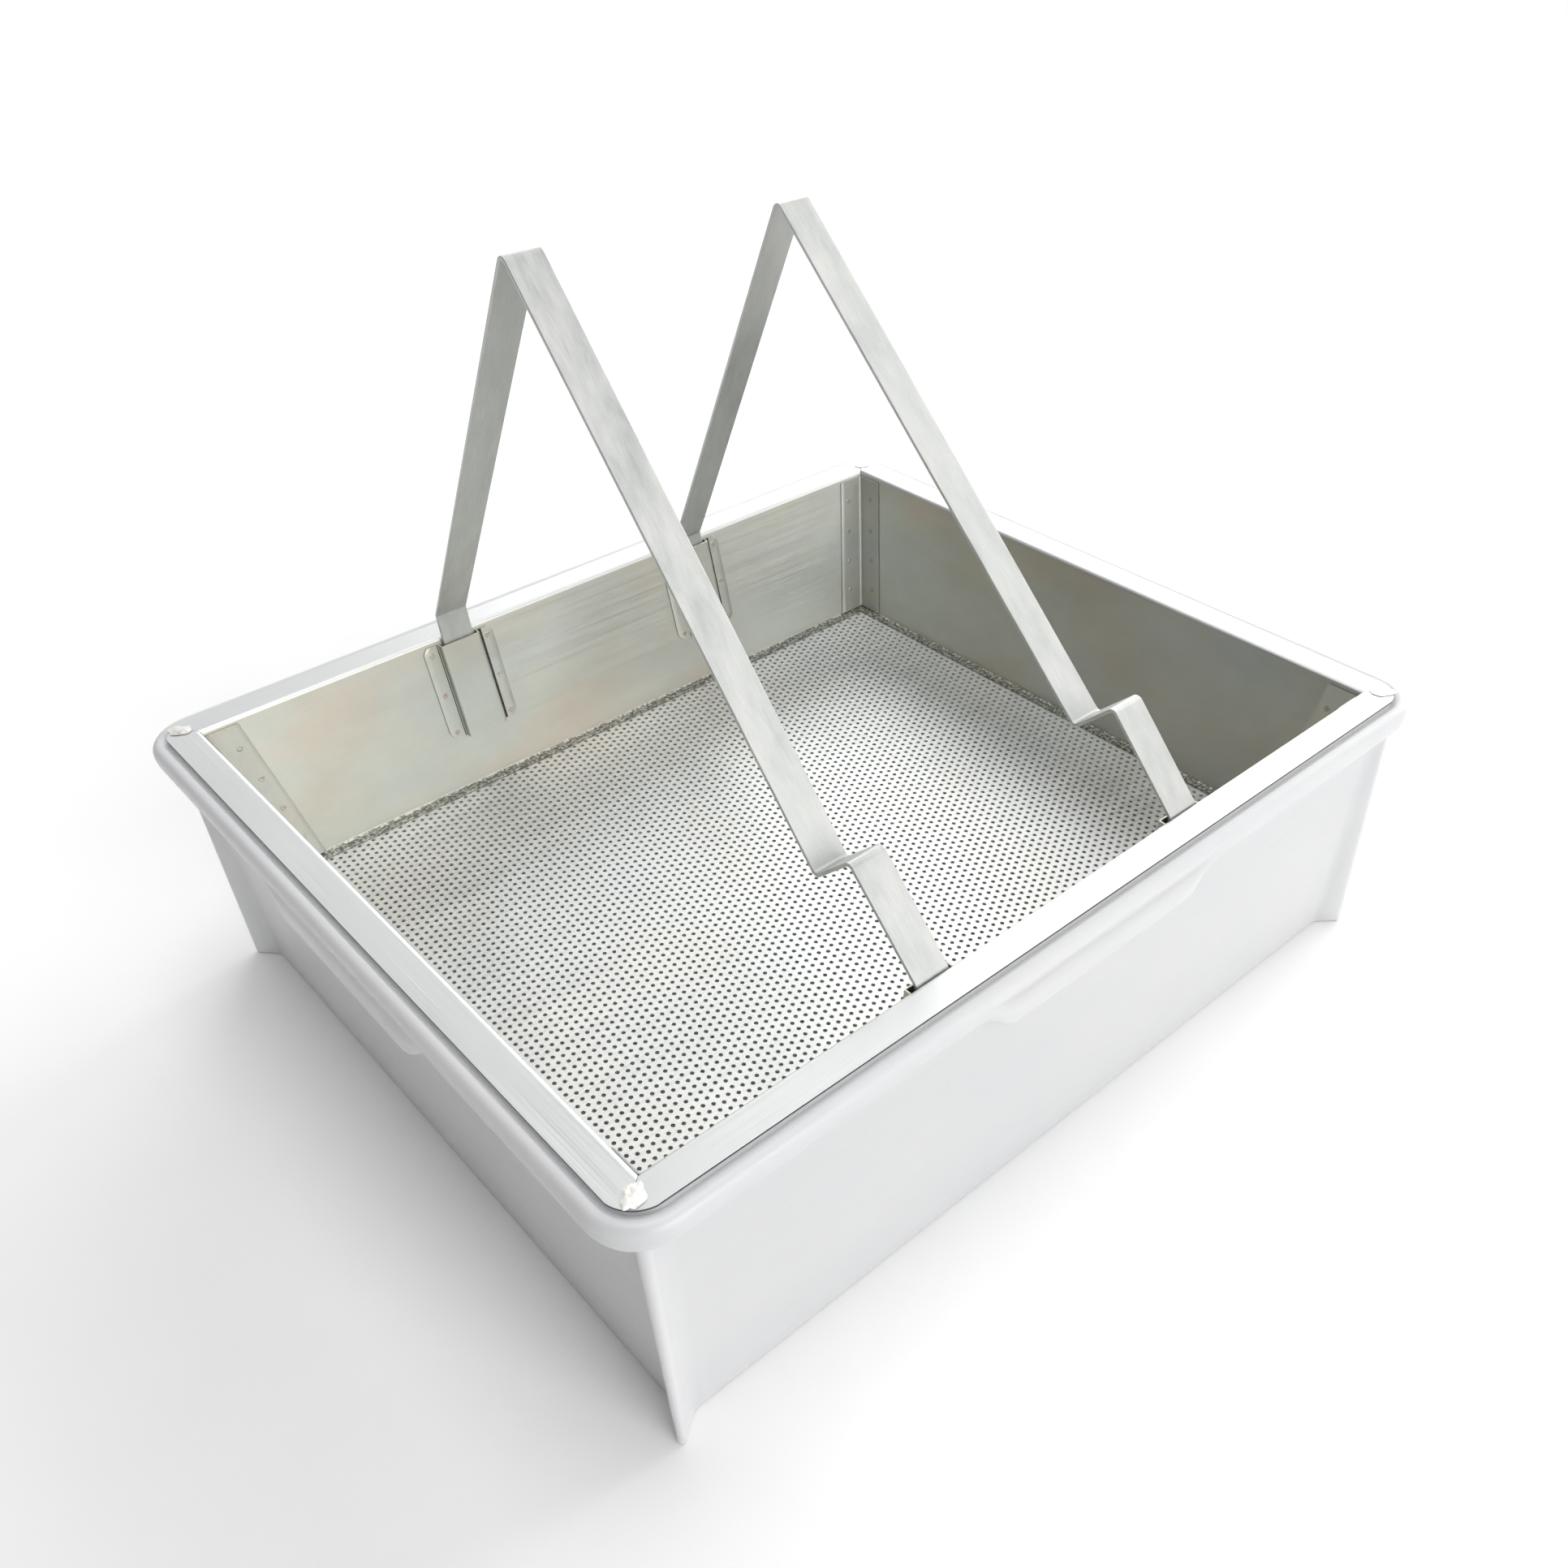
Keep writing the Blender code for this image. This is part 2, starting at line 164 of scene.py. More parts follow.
# The rim's underside behind the skirt, as (inset beyond the skirt, depth below the underside)
UNDERSIDE = ((0.0, 0.0023), (0.0007, 0.0006), (0.0024, 0.0), (0.0062, 0.0))
RIM_CURL = 0.0042
GRIP_DROP = 0.010
GRIP_HALF = 0.080
GRIP_SLOPE = 0.022
GRIP_STEP = 0.019
GRIP_GROOVE = 0.0016
GRIP_GROOVE_END = 0.62  # share of the skirt's height

# Diagonal corner legs, moulded on the tub as fins
FIN_TIP_X = 0.247
FIN_TIP_Y = 0.215
FIN_THICK_TOP = 0.013
FIN_THICK_FOOT = 0.007
FIN_TIP_SHARE = 0.6
FIN_FILLET_TOP = 0.008
FIN_FILLET_FOOT = 0.0035
LEG_LEAST_SIDE = 0.0005
# Steps round a corner of the tub: a fillet, the rounded tip of the leg and the other fillet
LEG_FILLET_STEPS = 8
LEG_TIP_STEPS = 8
CORNER_POINTS = 2 * (LEG_FILLET_STEPS + 1) + LEG_TIP_STEPS + 1

# Colours of the steel, and the painted highlight, shade and reflections on it
# Painted highlight: the flanges' colour, lighter than the walls below, for the light falling on their tops.
FLANGE_PAINTED_HIGHLIGHT = (0.82, 0.835, 0.83)
# Painted shade: dark ragged tones for the ledge at the foot of the basket walls.
LEDGE_PAINTED_SHADE = [(0.42, (0.20, 0.20, 0.17)), (0.5, (0.36, 0.36, 0.32)), (0.58, (0.62, 0.63, 0.58))]
STAIN_TINTS = [(0.34, (0.95, 1.0, 1.0)), (0.48, (0.97, 1.0, 0.95)), (0.64, (1.0, 0.955, 0.87))]
STREAKS = [(0.3, (0.86, 0.86, 0.86)), (0.7, (1.0, 1.0, 1.0))]
HEAT_TINTS = [
    (0.0, (1, 1, 1)),
    (0.35, (0.96, 0.91, 0.86)),
    (0.62, (0.84, 0.75, 0.70)),
    (0.9, (0.64, 0.57, 0.54)),
]
STRIP_TINTS = [(0.3, (0.57, 0.59, 0.57)), (0.5, (0.64, 0.65, 0.63)), (0.7, (0.70, 0.70, 0.68))]
WELD_TINTS = [
    (0.28, (0.60, 0.61, 0.62)),
    (0.42, (0.95, 0.95, 0.94)),
    (0.62, (0.93, 0.91, 0.86)),
    (0.76, (0.62, 0.60, 0.56)),
]
# Painted reflections on the far walls, darker towards one end: axis, the two ends and how bright the steel
# is there
PAINTED_REFLECTION = {
    "back": ("X", (0.08, BASKET_X), (0.81, 1.0)),
    "right": ("Y", (-BASKET_Y, BASKET_Y), (0.62, 1.0)),
}


# ---------------------------------------------------------------- mesh tools

STRAIGHT = 0.001  # radians
SHARPEST_MITRE = 0.2


def finish_object(name, bm, materials, body, smooth=35, bevel=0.0, bevel_angle=40):
    """Turn a bmesh into a piece that rides on a body. The first of its materials is on every face."""
    bmesh.ops.recalc_face_normals(bm, faces=bm.faces)
    mesh = bpy.data.meshes.new(name)
    bm.to_mesh(mesh)
    bm.free()
    mesh.shade_smooth()
    mesh.set_sharp_from_angle(angle=math.radians(smooth))
    for one in materials:
        mesh.materials.append(one)
    obj = bpy.data.objects.new(name, mesh)
    bpy.context.scene.collection.objects.link(obj)
    if bevel:
        rounding = obj.modifiers.new("edges", "BEVEL")
        rounding.width = bevel
        rounding.segments = 2
        rounding.limit_method = "ANGLE"
        rounding.angle_limit = math.radians(bevel_angle)
        rounding.harden_normals = False
    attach(obj, body)
    return obj


def loft(bm, loops):
    """Skin a list of equal loops and cap both ends; returns the rings of vertices."""
    rings = [[bm.verts.new(point) for point in loop] for loop in loops]
    count = len(rings[0])
    for low, high in zip(rings, rings[1:]):
        for i in range(count):
            j = (i + 1) % count
            bm.faces.new((low[i], low[j], high[j], high[i]))
    bm.faces.new(list(reversed(rings[0])))
    bm.faces.new(rings[-1])
    return rings


def fillet(points, radius, steps=6):
    """Round each inner corner of an open 2-D path with an arc. A point on a straight run stays."""
    path = [Vector(points[0])]
    for before, here, after in zip(points, points[1:], points[2:]):
        here = Vector(here)
        into = (here - Vector(before)).normalized()
        out = (Vector(after) - here).normalized()
        half_turn = into.angle(out) / 2
        if half_turn < STRAIGHT:
            path.append(here)
            continue
        reach = radius * math.tan(half_turn)
        middle = here + (out - into).normalized() * (radius / math.cos(half_turn))
        start = here - into * reach - middle
        turn = into.angle_signed(out)
        for step in range(steps + 1):
            angle = -turn * step / steps
            cos, sin = math.cos(angle), math.sin(angle)
            path.append(middle + Vector((start.x * cos - start.y * sin, start.x * sin + start.y * cos)))
    path.append(Vector(points[-1]))
    return path


def offset_pairs(path, thickness):
    """The two faces of a sheet, as point pairs, from the path down its middle."""
    pairs = []
    for i, here in enumerate(path):
        into = (here - path[i - 1]).normalized() if i else None
        out = (path[i + 1] - here).normalized() if i + 1 < len(path) else None
        into, out = into or out, out or into
        normal = Vector((-(into + out).y, (into + out).x)).normalized()
        reach = thickness / 2 / max(normal.dot(Vector((-into.y, into.x))), SHARPEST_MITRE)
        pairs.append((here + normal * reach, here - normal * reach))
    return pairs


def thin_ends(pairs):
    """Feather both ends of a sheet, so that it lies down on the wall without a hard step."""
    for place in (0, -1):
        one, other = pairs[place]
        pairs[place] = (one.lerp(other, 0.5), other)
    return pairs


def step_counts(path, longest):
    """How many equal steps each stretch of a path needs so that none is longer than asked."""
    lengths = [(after - here).length for here, after in zip(path, path[1:])]
    return [max(1, math.ceil(length / longest - 0.001)) for length in lengths]


def divide(path, counts):
    """Add points along a path: that many equal steps on each stretch."""
    fine = [path[0]]
    for here, after, count in zip(path, path[1:], counts):
        fine += [here.lerp(after, step / count) for step in range(1, count + 1)]
    return fine


def feathered_outline(path, counts, thickness):
    """Outline of a thin sheet's section, in those steps, with feathered ends."""
    pairs = thin_ends(offset_pairs(divide(path, counts), thickness))
    return [one for one, _ in pairs] + [other for _, other in reversed(pairs)]


def folded_sheet(bm, path, thickness, place, across_steps=1):
    """A sheet folded along a path; place(a, b, t) puts a point of the section at t of the half width."""
    shares = [2 * step / across_steps - 1 for step in range(across_steps + 1)]
    loops = []
    for one, other in offset_pairs(path, thickness):
        loop = [place(one.x, one.y, t) for t in shares]
        loop += [place(other.x, other.y, t) for t in reversed(shares)]
        loops.append(loop)
    return loft(bm, loops)


# ---------------------------------------------------------------- materials

class Shader:
    """Short calls for building one material's node tree."""

    def __init__(self, name, colour, roughness, metallic):
        self.material = bpy.data.materials.new(name)
        self.material.use_nodes = True
        self.tree = self.material.node_tree
        self.bsdf = self.tree.nodes["Principled BSDF"]
        self.bsdf.inputs["Base Color"].default_value = (*colour, 1.0)
        self.bsdf.inputs["Roughness"].default_value = roughness
        self.bsdf.inputs["Metallic"].default_value = metallic

    def node(self, kind, **inputs):
        """A node with its inputs set or linked."""
        made = self.tree.nodes.new(kind)
        for key, value in inputs.items():
            name = key.replace("_", " ")
            if isinstance(value, bpy.types.NodeSocket):
                self.tree.links.new(value, made.inputs[name])
            else:
                made.inputs[name].default_value = value
        return made

    def coordinates(self, scale):
        where = self.tree.nodes.new("ShaderNodeTexCoord")
        mapping = self.node("ShaderNodeMapping", Vector=where.outputs["Object"], Scale=scale)
        return mapping.outputs["Vector"]

    def noise(self, scale, detail=3.0, roughness=0.55):
        return self.noise_at(self.coordinates(scale), detail, roughness)

    def noise_at(self, vector, detail, roughness):
        made = self.node("ShaderNodeTexNoise", Vector=vector, Scale=1.0, Detail=detail, Roughness=roughness)
        return made.outputs["Fac"]

    def ramp(self, factor, stops):
        """Colours for a factor, from stops of (place, colour)."""
        made = self.node("ShaderNodeValToRGB", Fac=factor)
        elements = made.color_ramp.elements
        while len(elements) < len(stops):
            elements.new(0.5)
        for element, (place, colour) in zip(elements, stops):
            element.position = place
            element.color = (*colour, 1.0)
        return made.outputs["Color"]

    def spread(self, factor, low, high):
        """The middle of a noise, stretched to run from low to high."""
        return self.map_range(factor, (0.3, 0.7), (low, high))

    def map_range(self, value, source, target):
        made = self.tree.nodes.new("ShaderNodeMapRange")
        self.tree.links.new(value, made.inputs["Value"])
        for name, number in zip(("From Min", "From Max", "To Min", "To Max"), (*source, *target)):
            made.inputs[name].default_value = number
        return made.outputs["Result"]

    def mix(self, factor, one, other, blend="MIX"):
        """Two colours mixed; inputs 0, 6 and 7 are the node's factor and its two colours."""
        made = self.tree.nodes.new("ShaderNodeMix")
        made.data_type = "RGBA"
        made.blend_type = blend
        for socket, value in ((made.inputs[0], factor), (made.inputs[6], one), (made.inputs[7], other)):
            if isinstance(value, bpy.types.NodeSocket):
                self.tree.links.new(value, socket)
            elif isinstance(value, tuple):
                socket.default_value = (*value, 1.0)
            else:
                socket.default_value = value
        return made.outputs[2]

    def along(self, axis, low, high):
        """0 at low and 1 at high, along one axis of the object."""
        where = self.tree.nodes.new("ShaderNodeTexCoord")
        split = self.node("ShaderNodeSeparateXYZ", Vector=where.outputs["Object"])
        return self.map_range(split.outputs[axis], (low, high), (0.0, 1.0))

    def attribute(self, name):
        made = self.tree.nodes.new("ShaderNodeAttribute")
        made.attribute_name = name
        return made.outputs["Fac"]

    def bump(self, height, distance, strength=1.0, below=None):
        made = self.node("ShaderNodeBump", Height=height, Distance=distance, Strength=strength)
        if below:
            self.tree.links.new(below, made.inputs["Normal"])
        return made.outputs["Normal"]

    def link(self, output, name):
        self.tree.links.new(output, self.bsdf.inputs[name])


def steel_material(
    name, colour, grain, roughness=0.46, stain=1.0, contrast=0.08, heat=False, wall=False, reflection_falloff=None
):
    """Rolled stainless sheet.

    grain is the noise scale along X, Y and Z: small along the grain. stain is the strength of the cloudy
    warm and greenish tints. heat tints the steel round its spot welds. A wall has its flange painted
    lighter, a painted highlight, and its ledge painted darker, a painted shade. The last argument, an entry
    of the table of painted reflections, ramps a far wall's colour darker towards one end.
    """
    shader = Shader(name, colour, roughness, 1.0)
    fine = shader.noise(grain, detail=4.0)
    cloud = shader.noise((14, 14, 22), detail=4.0, roughness=0.6)
    patch = shader.noise((9, 9, 16), detail=3.0)
    dark = tuple(c * (1 - contrast) for c in colour)
    light = tuple(min(1.0, c * (1 + contrast * 0.6)) for c in colour)
    base = shader.ramp(cloud, [(0.3, dark), (0.7, light)])
    base = shader.mix(stain, base, shader.ramp(patch, STAIN_TINTS), "MULTIPLY")
    # Painted reflection: the wall's colour is ramped from darker at one end to full brightness at the other.
    if reflection_falloff:
        axis, ends, (first, last) = reflection_falloff
        painted_light_tone = shader.ramp(shader.along(axis, *ends), [(0.0, (first,) * 3), (1.0, (last,) * 3)])
        base = shader.mix(1.0, base, painted_light_tone, "MULTIPLY")
    if wall:
        # Painted highlight: the flange is painted lighter than the wall below it.
        near_flange = shader.along("Z", RIM_Z - 2.2 * SHEET, RIM_Z - 0.8 * SHEET)
        base = shader.mix(near_flange, base, FLANGE_PAINTED_HIGHLIGHT)
        # Painted shade: the ledge at the foot of the wall is painted a dark ragged tone.
        ledge_shade = shader.ramp(shader.noise((520, 520, 520), detail=2.0), LEDGE_PAINTED_SHADE)
        clear_of_ledge = shader.along("Z", FLOOR_Z + 0.3 * SHEET, FLOOR_Z + 1.2 * SHEET)
        base = shader.mix(clear_of_ledge, ledge_shade, base)
    base = shader.mix(0.6, base, shader.ramp(fine, STREAKS), "MULTIPLY")
    if heat:
        base = shader.mix(1.0, base, shader.ramp(shader.attribute("heat"), HEAT_TINTS), "MULTIPLY")
    shader.link(base, "Base Color")
    shader.link(shader.spread(fine, roughness - 0.06, roughness + 0.10), "Roughness")
    wave = shader.bump(cloud, 0.0006, 0.35)
    shader.link(shader.bump(fine, 0.00003, 0.7, below=wave), "Normal")
    return shader.material


def edge_shade_material():
    """The sheared edge of the sheet, rougher than its faces and painted dark: painted shade for the shadow
    line along the flange's edge.
    """
    shader = Shader("sheared_edge_painted_shade", (0.16, 0.17, 0.18), 0.55, 1.0)
    grain = shader.noise((900, 900, 2600))
    shader.link(shader.ramp(grain, [(0.3, (0.10, 0.11, 0.12)), (0.7, (0.24, 0.25, 0.26))]), "Base Color")
    shader.link(shader.bump(grain, 0.00008), "Normal")
    return shader.material


def slit_material():
    """Painted shade for the narrow slits beside each channel: near-black faces on the pocket's sheet, which
    has no gap there.
    """
    shader = Shader("slit_shade", (0.05, 0.05, 0.05), 0.6, 1.0)
    grain = shader.noise((500, 500, 900))
    shader.link(shader.ramp(grain, [(0.3, (0.04, 0.04, 0.04)), (0.7, (0.10, 0.10, 0.095))]), "Base Color")
    return shader.material


def weld_material():
    """Weld metal, roughly ground, with straw and blue-grey heat colours."""
    shader = Shader("weld_metal", (0.62, 0.60, 0.55), 0.5, 1.0)
    lumps = shader.noise((420, 420, 420), detail=5.0, roughness=0.65)
    patch = shader.noise((140, 140, 140), detail=2.0)
    shader.link(shader.ramp(patch, WELD_TINTS), "Base Color")
    shader.link(shader.spread(lumps, 0.36, 0.66), "Roughness")
    shader.link(shader.bump(lumps, 0.0004), "Normal")
    return shader.material


def spot_material():
    """Centre of a spot weld: a dull, slightly burnt nugget."""
    shader = Shader("spot_weld", (0.34, 0.29, 0.27), 0.5, 1.0)
    patch = shader.noise((900, 900, 900))
    shader.link(shader.ramp(patch, [(0.35, (0.38, 0.31, 0.28)), (0.65, (0.62, 0.56, 0.50))]), "Base Color")
    shader.link(shader.bump(patch, 0.0001), "Normal")
    return shader.material


def plastic_material():
    """White moulded plastic, slightly translucent, with faint flow marks and scuffs."""
    shader = Shader("white_tub_plastic", (0.66, 0.665, 0.675), 0.36, 0.0)
    flow = shader.noise((6, 6, 14), detail=3.0)
    grain = shader.noise((900, 900, 900), detail=2.0)
    scuff = shader.noise((60, 60, 340), detail=5.0, roughness=0.7)
    base = shader.ramp(flow, [(0.3, (0.645, 0.650, 0.662)), (0.7, (0.675, 0.677, 0.680))])
    marks = shader.ramp(scuff, [(0.60, (1, 1, 1)), (0.78, (0.95, 0.95, 0.94))])
    shader.link(shader.mix(1.0, base, marks, "MULTIPLY"), "Base Color")
    shader.link(shader.spread(scuff, 0.28, 0.40), "Roughness")
    broad = shader.bump(flow, 0.002, 0.25)
    shader.link(shader.bump(grain, 0.00002, 0.5, below=broad), "Normal")
    shader.bsdf.inputs["IOR"].default_value = 1.46
    shader.bsdf.inputs["Subsurface Weight"].default_value = 0.6
    shader.bsdf.inputs["Subsurface Radius"].default_value = (1.0, 1.0, 1.0)
    shader.bsdf.inputs["Subsurface Scale"].default_value = 0.008
    return shader.material


# ---------------------------------------------------------------- tub

def plain_corner(sign_x, sign_y, half_x, half_y, radius, steps=CORNER_POINTS - 1):
    """Points of a rounded corner, in the loop's anticlockwise order."""
    start = 90 * CORNERS.index((sign_x, sign_y))
    points = []
    for step in range(steps + 1):
        angle = math.radians(start + 90 * step / steps)
        x = sign_x * (half_x - radius) + radius * math.cos(angle)
        y = sign_y * (half_y - radius) + radius * math.sin(angle)
        points.append((x, y))
    return points


def leg_fillet(meet, along_wall, side_end, blend):
    """Curve from a wall into the side of a leg; meet is where their straight lines would cross."""
    side = side_end - meet
    start = meet - along_wall * blend
    end = meet + side.normalized() * min(blend, max(side.length, LEG_LEAST_SIDE) * 0.7)
    points = []
    for step in range(LEG_FILLET_STEPS + 1):
        t = step / LEG_FILLET_STEPS
        points.append(start * (1 - t) ** 2 + meet * 2 * t * (1 - t) + end * t * t)
    return points


def leg_corner(sign_x, sign_y, half_x, half_y, thick, tip_x, blend):
    """Points round a corner that carries a diagonal leg, blended into both walls."""
    tip_half = thick / 2 * FIN_TIP_SHARE
    diagonal = Vector((1, 1)).normalized()
    across = Vector((1, -1)).normalized()
    centre = Vector((tip_x, tip_x - FIN_TIP_X + FIN_TIP_Y)) - diagonal * tip_half

    right = centre + across * thick / 2
    meet_right = Vector((half_x, right.y + half_x - right.x))
    points = leg_fillet(meet_right, Vector((0, 1)), centre + across * tip_half, blend)
    for step in range(LEG_TIP_STEPS + 1):
        angle = math.pi * step / LEG_TIP_STEPS
        points.append(centre + (across * math.cos(angle) + diagonal * math.sin(angle)) * tip_half)
    left = centre - across * thick / 2
    meet_left = Vector((left.x + half_y - left.y, half_y))
    points += reversed(leg_fillet(meet_left, Vector((1, 0)), centre - across * tip_half, blend))

    placed = [(sign_x * p.x, sign_y * p.y) for p in points]
    return placed if sign_x * sign_y > 0 else list(reversed(placed))


def side_stations():
    """Places of the points along a side, from end to end, with most where the hand grip starts and stops."""
    ramp_steps = 10
    ramp = [GRIP_HALF - GRIP_SLOPE * step / ramp_steps for step in range(ramp_steps + 1)]
    middle = [GRIP_HALF - GRIP_SLOPE - GRIP_STEP * step for step in range(1, 4)]
    outward = ramp + middle
    return [-s for s in outward] + list(reversed(outward))


def tub_loop(corner, half_x, half_y, z):
    """One loop round the tub: four corners from corner(), and stations along each side."""
    loop = []
    for sign_x, sign_y in CORNERS:
        loop += [(x, y, z) for x, y in corner(sign_x, sign_y)]
        for station in side_stations():
            side = {
                (1, 1): (-station, half_y),
                (-1, 1): (-half_x, -station),
                (-1, -1): (station, -half_y),
                (1, -1): (half_x, station),
            }
            loop.append((*side[(sign_x, sign_y)], z))
    return loop


def on_short_side(x, y):
    """Whether a point of the rim is on the left or the right side."""
    return abs(x) / RIM_X > abs(y) / RIM_Y


def grip_share(x, y):
    """1 in the middle of a side, falling to 0 beyond the ends of the hand grip."""
    along = abs(y) if on_short_side(x, y) else abs(x)
    share = min(max((GRIP_HALF - along) / GRIP_SLOPE, 0.0), 1.0)
    return share * share * (3 - 2 * share)


def plain_loop(half_x, half_y, z, radius):
    """A loop with rounded corners."""
    def corner(sign_x, sign_y):
        return plain_corner(sign_x, sign_y, half_x, half_y, radius)

    return tub_loop(corner, half_x, half_y, z)


def wall_size(inset, z):
    """Half the tub's length and width at a height, inset from its outside."""
    flare = TUB_FLARE * z / RIM_TOP_Z
    return TUB_BOTTOM_X + flare - inset, TUB_BOTTOM_Y + flare - inset


def leg_loop(inset, z):
    """A loop of the tub's outside, with its four legs."""
    share = z / RIM_TOP_Z
    half_x, half_y = wall_size(inset, z)
    thick = FIN_THICK_FOOT + (FIN_THICK_TOP - FIN_THICK_FOOT) * share - inset
    tip_x = FIN_TIP_X - inset * 0.4
    blend = FIN_FILLET_FOOT + (FIN_FILLET_TOP - FIN_FILLET_FOOT) * share

    def corner(sign_x, sign_y):
        return leg_corner(sign_x, sign_y, half_x, half_y, thick, tip_x, blend)

    return tub_loop(corner, half_x, half_y, z)


def rim_loop(inset, depth, groove=0.0, hang=0.0, curl=0.0):
    """A loop of the rim. hang is its share of the grip's extra depth, curl of the turn inwards."""
    loop = plain_loop(RIM_X - inset, RIM_Y - inset, RIM_TOP_Z - depth, RIM_CORNER_RADIUS - inset)
    shaped = []
    for x, y, z in loop:
        share = grip_share(x, y)
        pull = groove * share + RIM_CURL * curl * (1 - share)
        if on_short_side(x, y):
            x -= math.copysign(pull, x)
        else:
            y -= math.copysign(pull, y)
        shaped.append((x, y, z - GRIP_DROP * hang * share))
    return shaped


def inside_loops():
    """From the middle of the tub's floor up its inside to the mouth."""
    steps = 10
    loops = []
    for step in range(steps + 1):
        angle = math.pi / 2 * step / steps
        inset = TUB_WALL + TUB_FLOOR_FILLET * (1 - math.sin(angle))
        z = TUB_WALL + TUB_FLOOR_FILLET * (1 - math.cos(angle))
        radius = max(TUB_CORNER_RADIUS - inset * 0.6, TUB_LEAST_RADIUS)
        loops.append(plain_loop(*wall_size(inset, z), z, radius))
    for thinner, depth, share in MOUTH:
        z = RIM_TOP_Z - depth
        radius = TUB_CORNER_RADIUS - TUB_WALL * share
        loops.append(plain_loop(*wall_size(TUB_WALL - thinner, z), z, radius))
    return loops


def rim_loops():
    """Over the groove beside the flange and the bead, down the skirt and back up inside it."""
    roll_steps, skirt_steps = 12, 10
    seat = RIM_X - FLANGE_X
    loops = [
        rim_loop(seat + GROOVE_SLOPE, 0.0),
        rim_loop(seat, GROOVE_DEPTH * 0.85),
        rim_loop(seat - GROOVE_WIDTH / 2, GROOVE_DEPTH),
        rim_loop(seat - GROOVE_WIDTH, GROOVE_DEPTH * 0.7),
    ]
    for step in range(roll_steps + 1):
        angle = math.radians(ROLL_START + (90 - ROLL_START) * step / roll_steps)
        depth = ROLL_TOP_DEPTH + RIM_ROLL * (1 - math.cos(angle))
        loops.append(rim_loop(RIM_ROLL * (1 - math.sin(angle)), depth))
    roll_depth = ROLL_TOP_DEPTH + RIM_ROLL
    for step in range(1, skirt_steps + 1):
        share = step / skirt_steps
        depth = roll_depth + (SKIRT_DEPTH - SKIRT_EDGE - roll_depth) * share
        dip = math.sin(math.pi * min(share / GRIP_GROOVE_END, 1.0)) ** 2
        curl = 1 - math.sqrt(1 - share * share)
        loops.append(rim_loop(0.0, depth, groove=GRIP_GROOVE * dip, hang=share, curl=curl))
    for inset, rise in SKIRT_FOOT:
        loops.append(rim_loop(inset, SKIRT_DEPTH - rise, hang=1, curl=1))
    for inset, depth in UNDERSIDE:
        loops.append(rim_loop(SKIRT_WALL + inset, UNDER_DEPTH + depth))
    return loops


def outside_loops():
    """Down the outside from under the rim, with the legs, and round the bottom edge."""
    wall_steps, edge_steps = 8, 5
    top = RIM_TOP_Z - UNDER_DEPTH
    loops = []
    for step in range(wall_steps + 1):
        loops.append(leg_loop(0, top + (TUB_EDGE_RADIUS - top) * step / wall_steps))
    for step in range(1, edge_steps + 1):
        angle = math.pi / 2 * step / edge_steps
        inset = TUB_EDGE_RADIUS * (1 - math.cos(angle))
        loops.append(leg_loop(inset, TUB_EDGE_RADIUS * (1 - math.sin(angle))))
    return loops


def make_tub():
    """The tub as one closed skin."""
    bm = bmesh.new()
    loft(bm, inside_loops() + rim_loops() + outside_loops())
    tub = finish_object("tub_shell", bm, [plastic_material()], "tub", smooth=50)
    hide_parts("tub")


# ---------------------------------------------------------------- basket

def wall_path(half_width):
    """Section of one basket wall, flange to ledge, as (distance out from the middle, z)."""
    top_z = RIM_Z - SHEET / 2
    ledge_z = FLOOR_Z - SHEET / 2
    foot = half_width + SHEET / 2 - LEAN * (top_z - ledge_z)
    corners = [
        (half_width + FLANGE_WIDTH, top_z),
        (half_width + SHEET / 2, top_z),
        (foot, ledge_z),
        (foot - LEDGE_WIDTH, ledge_z),
    ]
    return fillet(corners, BEND_RADIUS, steps=8)


def flange_outline_cutter():
    """Solid whose outline rounds the corners of the flange."""
    half_x, half_y = FLANGE_X + GAP, FLANGE_Y + GAP
    outline = []
    for sign_x, sign_y in CORNERS:
        outline += plain_corner(sign_x, sign_y, half_x, half_y, FLANGE_CORNER_RADIUS, steps=24)
    margin = 0.02
    loops = [[(x, y, z) for x, y in outline] for z in (FLOOR_Z - margin, RIM_Z + margin)]
    bm = bmesh.new()
    loft(bm, loops)
    bmesh.ops.recalc_face_normals(bm, faces=bm.faces)
    mesh = bpy.data.meshes.new("flange_outline")
    bm.to_mesh(mesh)
    bm.free()
    cutter = bpy.data.objects.new("flange_outline", mesh)
    bpy.context.scene.collection.objects.link(cutter)
    return cutter


def apply_modifiers(obj):
    """Swap the object's mesh for the one its modifiers make."""
    depsgraph = bpy.context.evaluated_depsgraph_get()
    mesh = bpy.data.meshes.new_from_object(obj.evaluated_get(depsgraph))
    obj.modifiers.clear()
    obj.data = mesh


